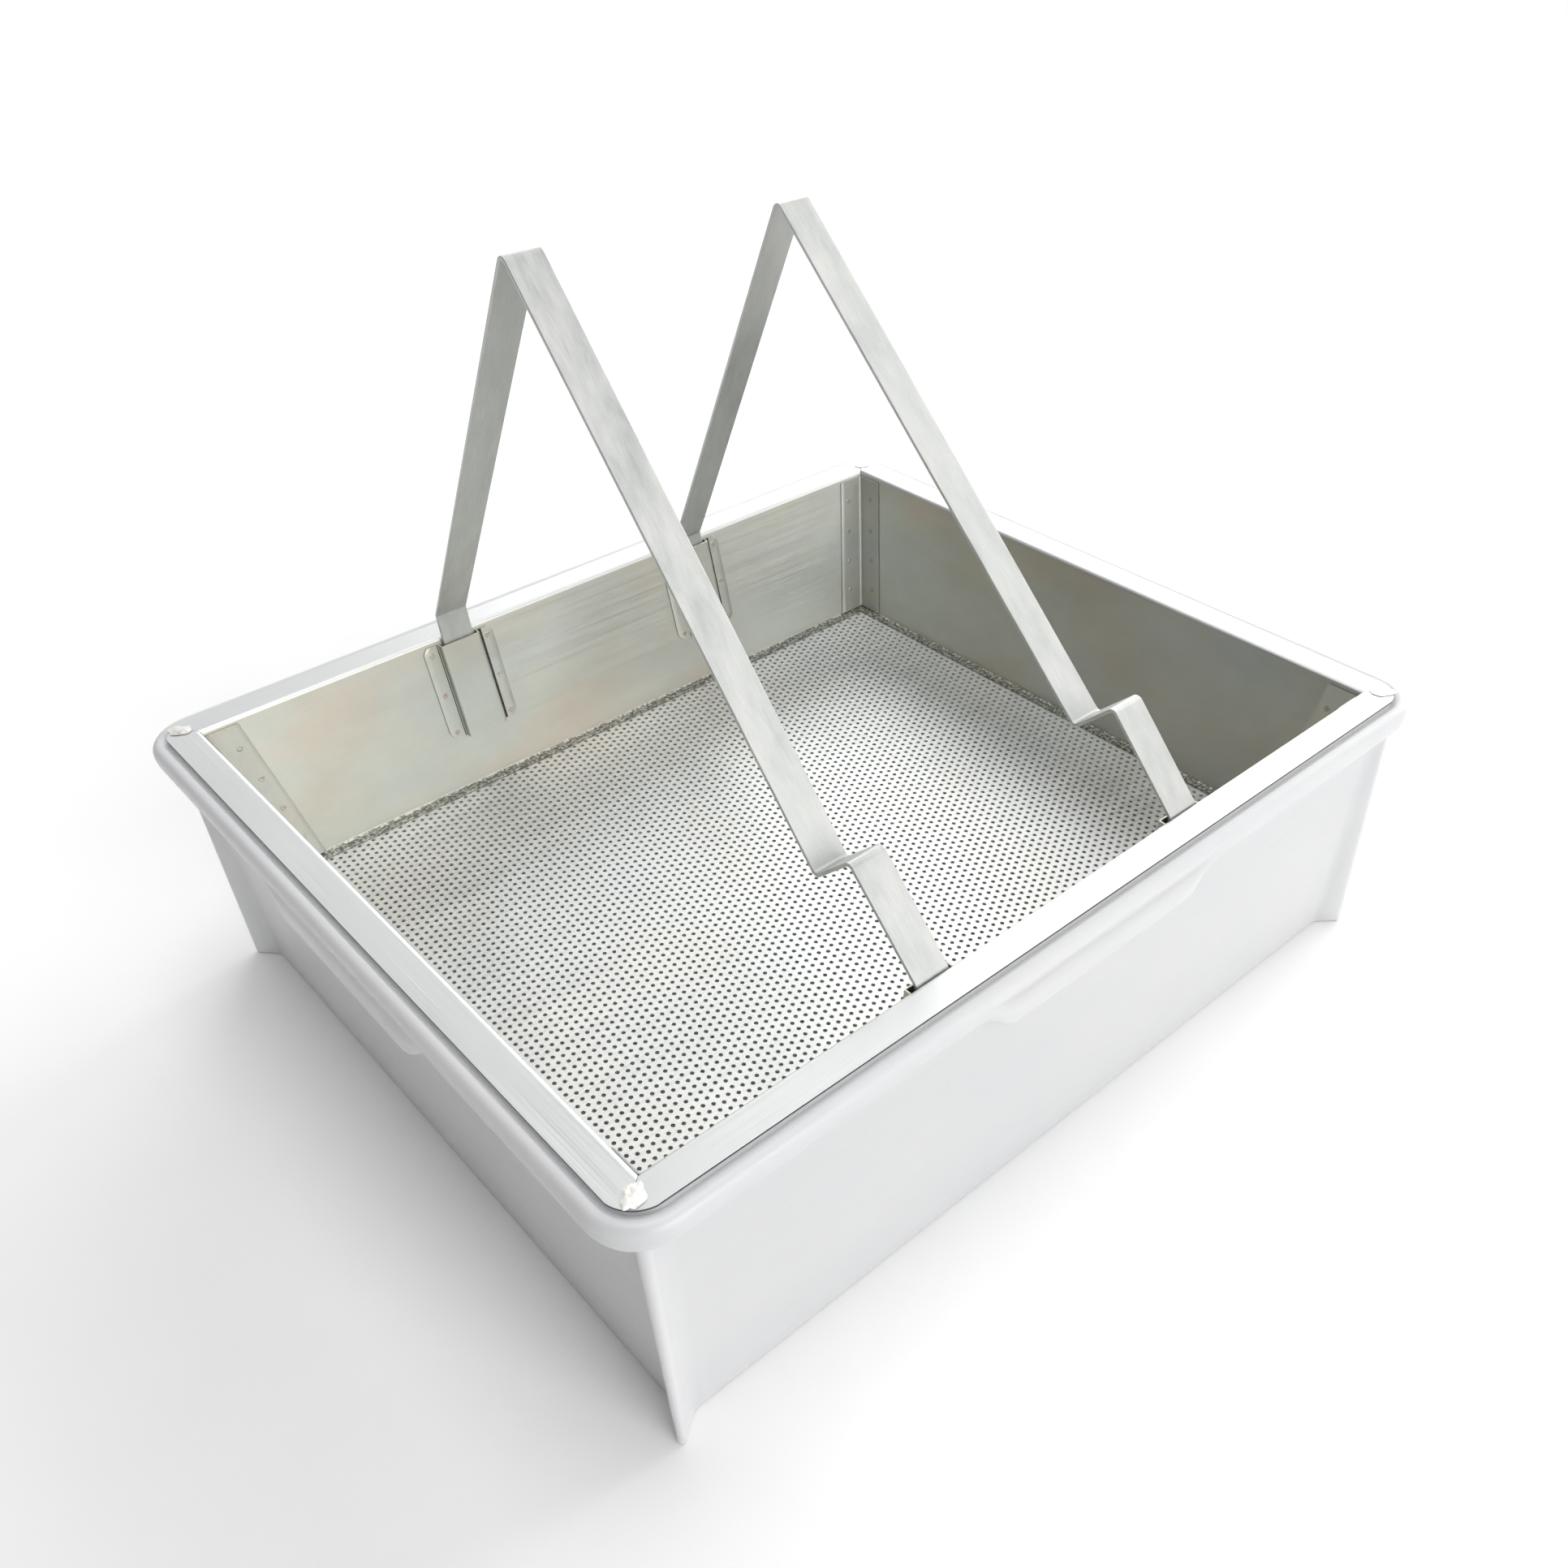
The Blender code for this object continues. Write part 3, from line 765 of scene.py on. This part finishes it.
def make_basket_walls():
    """Four folded walls, mitred at the corners: the long pair is GAP shorter at each end."""
    cutter = flange_outline_cutter()
    extra = BASKET_X - BASKET_Y
    along_x, along_y = (9, 2600, 1500), (2600, 9, 1500)
    # Painted light: the back and right walls are a lighter copy of the steel than the front and left, for
    # the light they catch.
    shaded_tone, painted_light_tone = (0.60, 0.60, 0.58), (0.76, 0.745, 0.71)
    sides = {
        "front": (BASKET_Y, along_x, shaded_tone, lambda out, z, t: (t * (out + extra - GAP), -out, z)),
        "back": (BASKET_Y, along_x, painted_light_tone, lambda out, z, t: (t * (out + extra - GAP), out, z)),
        "left": (BASKET_X, along_y, (0.60, 0.61, 0.60), lambda out, z, t: (-out, t * (out - extra), z)),
        "right": (BASKET_X, along_y, painted_light_tone, lambda out, z, t: (out, t * (out - extra), z)),
    }
    # Painted shade: the flange's thin outer edge is painted dark for the shadow line beside it.
    edge_shade = edge_shade_material()
    for side, (half_width, grain, colour, place) in sides.items():
        bm = bmesh.new()
        folded_sheet(bm, wall_path(half_width), SHEET, place)
        sheet = steel_material(f"sheet_{side}", colour, grain, wall=True, reflection_falloff=PAINTED_REFLECTION.get(side))
        wall = finish_object(
            f"sheet_wall_{side}", bm, [sheet, edge_shade], "sieve_basket", smooth=30
        )
        trim = wall.modifiers.new("flange_corners", "BOOLEAN")
        trim.operation = "INTERSECT"
        trim.object = cutter
        apply_modifiers(wall)
        mark_edges(wall)
        wall.data.set_sharp_from_angle(angle=math.radians(30))
        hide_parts(f"basket_wall_{side}")
    bpy.data.objects.remove(cutter)


def mark_edges(wall):
    """Give the flange's thin outer edge the sheared-edge material, whose dark colour is painted shade."""
    inner_x, inner_y = FLANGE_X - FLANGE_CORNER_RADIUS, FLANGE_Y - FLANGE_CORNER_RADIUS
    for face in wall.data.polygons:
        heights = [wall.data.vertices[v].co.z for v in face.vertices]
        upright = abs(face.normal.z) < 0.1
        high = face.center.z > RIM_Z - SHEET * 1.1
        outside = abs(face.center.x) > inner_x or abs(face.center.y) > inner_y
        thin = max(heights) - min(heights) < SHEET * 1.2
        face.material_index = 1 if upright and high and outside and thin else 0


def floor_cells():
    """Centres of the staggered holes: columns run along Y, every other one half a pitch along."""
    column = HOLE_PITCH * math.sqrt(3) / 2
    columns = math.ceil(FLOOR_HIGH.x / column) + 1
    rows = math.ceil(FLOOR_HIGH.y / HOLE_PITCH) + 1
    for i in range(-columns, columns + 1):
        shift = HOLE_PITCH / 2 * (i % 2)
        for j in range(-rows, rows + 1):
            yield i * column, j * HOLE_PITCH + shift


def cell_outline():
    """Six corners of a hexagonal cell and two middles of its sides: one outer point for each hole side."""
    size = HOLE_PITCH / math.sqrt(3)
    corners = []
    for k in range(6):
        angle = math.radians(60 * k)
        corners.append(Vector((math.cos(angle), math.sin(angle))) * size)
    outline = []
    for k, corner in enumerate(corners):
        outline.append(corner)
        if k in (1, 4):
            outline.append((corner + corners[(k + 1) % 6]) / 2)
    return outline


def make_floor():
    """Punched sheet in two halves, with every hole a real one; the sheet's edge runs through the holes."""
    outline = cell_outline()
    ring = [point.normalized() * HOLE_RADIUS for point in outline]
    material = steel_material(
        "punched_sheet", (0.88, 0.89, 0.88), (9, 1400, 1400), roughness=0.48, stain=0.3, contrast=0.05
    )
    levels = (SIEVE_Z, SIEVE_Z - SHEET)
    limit_x, limit_y = FLOOR_HIGH.x, FLOOR_HIGH.y
    for side, keep in (("left", lambda x: x < -MIDDLE_SLACK), ("right", lambda x: x >= -MIDDLE_SLACK)):
        points, index, faces = [], {}, []

        def vertex(x, y, z):
            key = (round(x / MICRON), round(y / MICRON), round(z / MICRON))
            if key not in index:
                index[key] = len(points)
                points.append((x, y, z))
            return index[key]

        for cx, cy in floor_cells():
            if not keep(cx) or abs(cx) > limit_x + HOLE_PITCH or abs(cy) > limit_y + HOLE_PITCH:
                continue
            outer = [[vertex(cx + p.x, cy + p.y, z) for p in outline] for z in levels]
            inner = [[vertex(cx + p.x, cy + p.y, z) for p in ring] for z in levels]
            for k in range(HOLE_SIDES):
                m = (k + 1) % HOLE_SIDES
                faces.append((outer[0][k], outer[0][m], inner[0][m], inner[0][k]))
                faces.append((outer[1][m], outer[1][k], inner[1][k], inner[1][m]))
                faces.append((inner[0][k], inner[0][m], inner[1][m], inner[1][k]))
        mesh = bpy.data.meshes.new("punched")
        mesh.from_pydata(points, [], faces)
        bm = bmesh.new()
        bm.from_mesh(mesh)
        bpy.data.meshes.remove(mesh)
        for axis, limit in ((Vector((1, 0, 0)), limit_x), (Vector((0, 1, 0)), limit_y)):
            for sign in (-1, 1):
                geometry = bm.verts[:] + bm.edges[:] + bm.faces[:]
                bmesh.ops.bisect_plane(
                    bm, geom=geometry, plane_co=axis * sign * limit, plane_no=axis * sign, clear_outer=True
                )
        open_edges = [e for e in bm.edges if e.is_boundary]
        bmesh.ops.holes_fill(bm, edges=open_edges, sides=8)
        half = finish_object(
            f"punched_floor_{side}", bm, [material], "sieve_basket", smooth=35
        )
        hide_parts("perforated_floor")


def heat_at(point, spots):
    """How strongly a point of the sheet is tinted by the nearest spot weld."""
    nearest = min((Vector(point) - Vector(spot)).length for spot in spots)
    share = max(0.0, 1 - nearest / HEAT_RADIUS)
    return share * (0.75 + 0.5 * noise.noise(Vector(point) * 900))


def paint_heat(obj, spots):
    """Store the tint of every point for the material's heat colours."""
    layer = obj.data.attributes.new("heat", "FLOAT", "POINT")
    for vertex in obj.data.vertices:
        layer.data[vertex.index].value = heat_at(vertex.co, spots)


def corner_spots(sign_x, sign_y):
    """Spot welds of one corner angle: points on its surface and the outward normals there."""
    spots = []
    stand_off = GAP + ANGLE_SHEET
    for drop in CORNER_SPOT_DROPS:
        wall_x, wall_y = BASKET_X - LEAN * drop, BASKET_Y - LEAN * drop
        z = RIM_Z - drop
        jitter = 0.0006 * math.sin(drop * 900 + sign_x * 2 + sign_y)
        on_long = (sign_x * (wall_x - CORNER_SPOT_INSET + jitter), sign_y * (wall_y - stand_off), z)
        on_short = (sign_x * (wall_x - stand_off), sign_y * (wall_y - CORNER_SPOT_INSET - jitter), z)
        spots.append((on_long, (0, -sign_y, LEAN)))
        spots.append((on_short, (-sign_x, 0, LEAN)))
    return spots


def make_corner_angles():
    """Folded strips that tie each pair of walls together, with a small bend and spot-weld tints."""
    material = steel_material("angle_sheet", (0.615, 0.600, 0.575), (1500, 1500, 14), heat=True)
    height_steps, leg_steps = 60, 12  # the first loop's steps serve every loop, so that all match
    low, high = FLOOR_Z + ANGLE_FOOT, RIM_Z - ANGLE_TOP_DROP
    for name, sign_x, sign_y in QUARTERS:
        loops, counts = [], None
        for step in range(height_steps + 1):
            z = low + (high - low) * step / height_steps
            shrink = LEAN * (RIM_Z - z) + GAP + ANGLE_SHEET / 2
            x, y = BASKET_X - shrink, BASKET_Y - shrink
            path = fillet([(x, y - ANGLE_LEG), (x, y), (x - ANGLE_LEG, y)], ANGLE_BEND, steps=4)
            counts = counts or step_counts(path, ANGLE_LEG / leg_steps)
            outline = feathered_outline(path, counts, ANGLE_SHEET)
            loops.append([(sign_x * p.x, sign_y * p.y, z) for p in outline])
        bm = bmesh.new()
        loft(bm, loops)
        angle = finish_object(
            f"angle_strip_{name}", bm, [material], "sieve_basket", smooth=30
        )
        paint_heat(angle, [place for place, _ in corner_spots(sign_x, sign_y)])
        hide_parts(f"corner_angle_{name}")


def pocket_spots(sign_x, sign_y):
    """Spot welds of one pocket, three on each ear."""
    spots = []
    for drop in POCKET_SPOT_DROPS:
        y = sign_y * (BASKET_Y - LEAN * drop - GAP - POCKET_SHEET)
        for offset in (-POCKET_SPOT_X, POCKET_SPOT_X):
            spots.append(((sign_x * POCKET_X + offset, y, RIM_Z - drop), (0, -sign_y, LEAN)))
    return spots


def pocket_path(chamfer):
    """Section of a pocket, as (distance aside, distance from the wall), with the slits' ends as points."""
    near, far = GAP + POCKET_SHEET / 2, POCKET_DEPTH - POCKET_SHEET / 2
    half = POCKET_HALF - chamfer
    path = [(-half, near), (SLIT_ENDS[0], near), (-SLIT_PLACE, near)]
    path += [(-CHANNEL_HALF, near), (-CHANNEL_HALF, far), (CHANNEL_HALF, far), (CHANNEL_HALF, near)]
    path += [(SLIT_PLACE, near), (SLIT_ENDS[1], near), (half, near)]
    return fillet(path, POCKET_BEND, steps=4)


def mark_slits(pocket, middle_x):
    """Give the slits beside the channel the shade material."""
    for face in pocket.data.polygons:
        aside = face.center.x - middle_x
        on_slit = SLIT_ENDS[0] < aside < -SLIT_PLACE or SLIT_PLACE < aside < SLIT_ENDS[1]
        face.material_index = 1 if on_slit and abs(face.normal.z) < 0.5 else 0


def make_pockets():
    """Hat-section pockets with small bends, chamfered corners and spot-weld tints."""
    sheet = steel_material("pocket_sheet", (0.63, 0.62, 0.59), (1500, 1500, 14), heat=True)
    shade = slit_material()
    top, bottom = RIM_Z - POCKET_TOP_DROP, RIM_Z - POCKET_BOTTOM_DROP
    height_steps, longest = 44, 0.0012  # the first loop's steps serve every loop, so that all match
    for name, sign_x, sign_y in QUARTERS:
        loops, counts = [], None
        for step in range(height_steps + 1):
            z = bottom + (top - bottom) * step / height_steps
            path = pocket_path(max(0.0, POCKET_CHAMFER - min(z - bottom, top - z)))
            counts = counts or step_counts(path, longest)
            wall_y = BASKET_Y - LEAN * (RIM_Z - z)
            outline = feathered_outline(path, counts, POCKET_SHEET)
            loops.append([(sign_x * POCKET_X + p.x, sign_y * (wall_y - p.y), z) for p in outline])
        bm = bmesh.new()
        loft(bm, loops)
        pocket = finish_object(
            f"hat_pocket_{name}", bm, [sheet, shade], "sieve_basket", smooth=30
        )
        mark_slits(pocket, sign_x * POCKET_X)
        paint_heat(pocket, [place for place, _ in pocket_spots(sign_x, sign_y)])
        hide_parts(f"rest_pocket_{name}")


def add_nugget(bm, centre, normal):
    """One spot weld: a shallow ring round a dimple."""
    sides = 14
    centre = Vector(centre)
    normal = Vector(normal).normalized()
    across = normal.cross(Vector((0, 0, 1))).normalized()
    up = normal.cross(across)
    rings = []
    for size, rise in NUGGET:
        ring = []
        for step in range(sides):
            angle = 2 * math.pi * step / sides
            cos, sin = math.cos(angle), math.sin(angle)
            wobble = 1 + 0.10 * noise.noise(centre * 700 + Vector((cos, sin, 0)))
            reach = (across * cos + up * sin) * SPOT_RADIUS * size * wobble
            ring.append(tuple(centre + normal * rise + reach))
        rings.append(ring)
    loft(bm, rings)


def make_spot_welds():
    """All the spot welds as one piece of weld metal."""
    bm = bmesh.new()
    for _, sign_x, sign_y in QUARTERS:
        for place, normal in corner_spots(sign_x, sign_y) + pocket_spots(sign_x, sign_y):
            add_nugget(bm, place, normal)
    finish_object("spot_welds", bm, [spot_material()], "sieve_basket", smooth=60)


def make_corner_welds():
    """Roughly ground weld metal across each mitred corner of the flange."""
    material = weld_material()
    rings, sides = 9, 40
    for name, sign_x, sign_y in QUARTERS:
        low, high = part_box(f"corner_weld_{name}")
        centre = (low + high) / 2
        along = Vector((sign_x, sign_y, 0)).normalized()
        across = Vector((-along.y, along.x, 0))
        loops = []
        for ring in range(rings):
            share = 1 - ring / rings
            loop = []
            for step in range(sides):
                turn = 2 * math.pi * step / sides
                cos, sin = math.cos(turn), math.sin(turn)
                ragged = 0.84 + 0.30 * noise.noise(Vector((cos * 1.6, sin * 1.6, sign_x * 3 + sign_y * 7)))
                reach = along * cos * WELD_HALF_LONG + across * sin * WELD_HALF_WIDE
                point = centre + reach * share * ragged
                lump = noise.noise(Vector((point.x * 420, point.y * 420, sign_x + 2 * sign_y)))
                dome = (1 - share ** 3) * (WELD_RISE + WELD_LUMP * lump)
                loop.append((point.x, point.y, low.z + max(dome, WELD_SKIN)))
            loops.append(loop)
        bm = bmesh.new()
        loft(bm, loops)
        weld = finish_object(
            f"mitre_weld_{name}", bm, [material], "sieve_basket", smooth=60
        )
        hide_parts(f"corner_weld_{name}")


# ---------------------------------------------------------------- frame rests

def strip_material(name):
    """Rolled flat strip; its grain follows the strip through the UV map, along V."""
    shader = Shader(name, (0.72, 0.73, 0.71), 0.4, 1.0)
    uv = shader.tree.nodes.new("ShaderNodeUVMap")
    uv.uv_map = "strip"

    def strip_noise(scale, detail, roughness):
        mapping = shader.node("ShaderNodeMapping", Vector=uv.outputs["UV"], Scale=scale)
        return shader.noise_at(mapping.outputs["Vector"], detail, roughness)

    fine = strip_noise((2400, 70, 1), 4.0, 0.6)
    cloud = strip_noise((90, 30, 1), 5.0, 0.65)
    speck = strip_noise((1500, 1100, 1), 3.0, 0.6)
    base = shader.ramp(cloud, STRIP_TINTS)
    streak = shader.ramp(fine, [(0.3, (0.84, 0.84, 0.84)), (0.7, (1.0, 1.0, 1.0))])
    base = shader.mix(0.7, base, streak, "MULTIPLY")
    dots = shader.ramp(speck, [(0.28, (0.80, 0.80, 0.80)), (0.42, (1.0, 1.0, 1.0))])
    base = shader.mix(0.5, base, dots, "MULTIPLY")
    shader.link(base, "Base Color")
    shader.link(shader.spread(cloud, 0.44, 0.58), "Roughness")
    wave = shader.bump(cloud, 0.0002, 0.4)
    shader.link(shader.bump(fine, 0.00003, 0.7, below=wave), "Normal")
    return shader.material


def rest_path(shape):
    """Middle line of one rest, as (Y, height above the flange)."""
    def tongue(up):
        return BASKET_Y - GAP - STRIP_SHEET / 2 + LEAN * up

    points = [
        (-tongue(-TONGUE_DROP), -TONGUE_DROP),
        (-tongue(FRONT_BEND_UP), FRONT_BEND_UP),
        CREST,
        NOTCH,
        shape["apex"],
        (REAR_BEND_Y, shape["rear_bend_up"]),
        (tongue(-TONGUE_DROP), -TONGUE_DROP),
    ]
    path = fillet(points, STRIP_BEND, steps=8)
    return divide(path, step_counts(path, 0.006))


def unroll(bm, path, rings, centre_x, start):
    """UV map in metres that follows the strip: U across it, V along it from start."""
    uv = bm.loops.layers.uv.new("strip")
    travelled, lengths = 0.0, [0.0]
    for here, after in zip(path, path[1:]):
        travelled += (after - here).length
        lengths.append(travelled)
    where = {}
    for ring, length in zip(rings, lengths):
        for vertex in ring:
            where[vertex] = length
    for face in bm.faces:
        for corner in face.loops:
            corner[uv].uv = (corner.vert.co.x - centre_x, where[corner.vert] + start)


def make_frame_rests():
    """Bent strips with rounded edges: front leg, step, long slope and rear leg."""
    for side, uv_start in (("left", -0.7), ("right", 0.7)):
        low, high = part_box(f"frame_rest_{side}")
        centre_x = (low.x + high.x) / 2
        path = rest_path(RESTS[side])
        bm = bmesh.new()
        rings = folded_sheet(
            bm,
            path,
            STRIP_SHEET,
            lambda y, up, t: (centre_x + t * STRIP_WIDTH / 2, y, RIM_Z + up),
            across_steps=4,
        )
        unroll(bm, path, rings, centre_x, uv_start)
        rest = finish_object(
            f"bent_rest_{side}", bm, [strip_material(f"rest_strip_{side}")], f"rest_{side}",
            smooth=40, bevel=0.00035, bevel_angle=50,
        )
        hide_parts(f"frame_rest_{side}")


# ---------------------------------------------------------------- studio

WHITE = (1.0, 1.0, 1.0, 1.0)
CAMERA_PLACE = Vector((-0.3825, -0.4982, 0.5635))
CAMERA_AZIMUTH = math.radians(-41.50)
CAMERA_ELEVATION = math.radians(40.21)
CAMERA_ROLL = math.radians(-1.35)
CAMERA_LENS = 31.93
CAMERA_SHIFT = (-0.0553, 0.0680)
STUDIO_STRENGTH = 0.15
BACKDROP_STRENGTH = 1.0
GROUND_RADIUS = 3.6
LIGHT_SIZE = 5.2
LIGHTS = {  # name: (place, power in watts)
    "front": ((0, -6.5, 3.0), 300),
    "front_right": ((4.8, -4.8, 3.0), 50),
    "right": ((6.5, 0, 3.0), 300),
    "back_right": ((4.8, 4.8, 3.0), 215),
    "back": ((0, 6.5, 3.0), 50),
    "top": ((0, 0, 7.0), 190),
}


def make_ground():
    """A round pale floor, matt and almost even."""
    bm = bmesh.new()
    bmesh.ops.create_circle(bm, cap_ends=True, segments=96, radius=GROUND_RADIUS)
    mesh = bpy.data.meshes.new("studio_floor")
    bm.to_mesh(mesh)
    bm.free()
    shader = Shader("studio_floor_paint", (0.96, 0.96, 0.96), 0.9, 0.0)
    speckle = shader.noise((30, 30, 30))
    shader.link(shader.ramp(speckle, [(0.3, (0.96, 0.96, 0.96)), (0.7, (0.97, 0.97, 0.97))]), "Base Color")
    mesh.materials.append(shader.material)
    ground = bpy.data.objects.new("studio_floor", mesh)
    bpy.context.scene.collection.objects.link(ground)


def aim(obj, target):
    """Turn a light to face the target."""
    direction = Vector(target) - obj.location
    obj.rotation_euler = direction.to_track_quat("-Z", "Y").to_euler()


def make_lights():
    """Broad soft lights all round and above in a dim even studio, before a plain white backdrop.

    The camera sees the backdrop beyond the floor. It lights nothing.
    """
    world = bpy.data.worlds.new("studio")
    bpy.context.scene.world = world
    world.use_nodes = True
    tree = world.node_tree
    background = tree.nodes["Background"]
    background.inputs["Color"].default_value = WHITE
    background.inputs["Strength"].default_value = STUDIO_STRENGTH
    backdrop = tree.nodes.new("ShaderNodeBackground")
    backdrop.inputs["Color"].default_value = WHITE
    backdrop.inputs["Strength"].default_value = BACKDROP_STRENGTH
    rays = tree.nodes.new("ShaderNodeLightPath")
    blend = tree.nodes.new("ShaderNodeMixShader")
    tree.links.new(rays.outputs["Is Camera Ray"], blend.inputs["Fac"])
    tree.links.new(background.outputs["Background"], blend.inputs[1])
    tree.links.new(backdrop.outputs["Background"], blend.inputs[2])
    tree.links.new(blend.outputs["Shader"], tree.nodes["World Output"].inputs["Surface"])
    for name, (place, power) in LIGHTS.items():
        light = bpy.data.lights.new(name, "AREA")
        light.shape = "DISK"
        light.size = LIGHT_SIZE
        light.energy = power
        obj = bpy.data.objects.new(name, light)
        obj.location = place
        bpy.context.scene.collection.objects.link(obj)
        aim(obj, (0, 0, 0.05))


def make_camera():
    """Camera high in front of the left front corner, rolled a little to the left."""
    cos, sin = math.cos(CAMERA_AZIMUTH), math.sin(CAMERA_AZIMUTH)
    level = math.cos(CAMERA_ELEVATION)
    back = Vector((sin * level, -cos * level, math.sin(CAMERA_ELEVATION)))
    level_right = Vector((cos, sin, 0))
    level_up = back.cross(level_right)
    right = level_right * math.cos(CAMERA_ROLL) + level_up * math.sin(CAMERA_ROLL)
    up = level_up * math.cos(CAMERA_ROLL) - level_right * math.sin(CAMERA_ROLL)
    data = bpy.data.cameras.new("camera")
    data.sensor_width = 36
    data.lens = CAMERA_LENS
    data.shift_x, data.shift_y = CAMERA_SHIFT
    data.clip_start = 0.01
    camera = bpy.data.objects.new("camera", data)
    matrix = camera.matrix_world.copy()
    for row in range(3):
        matrix[row][0], matrix[row][1], matrix[row][2] = right[row], up[row], back[row]
        matrix[row][3] = CAMERA_PLACE[row]
    camera.matrix_world = matrix
    bpy.context.scene.collection.objects.link(camera)
    bpy.context.scene.camera = camera


bpy.context.scene.view_settings.view_transform = "Standard"
make_camera()
make_lights()
make_ground()
make_tub()
make_basket_walls()
make_floor()
make_corner_angles()
make_pockets()
make_spot_welds()
make_corner_welds()
make_frame_rests()
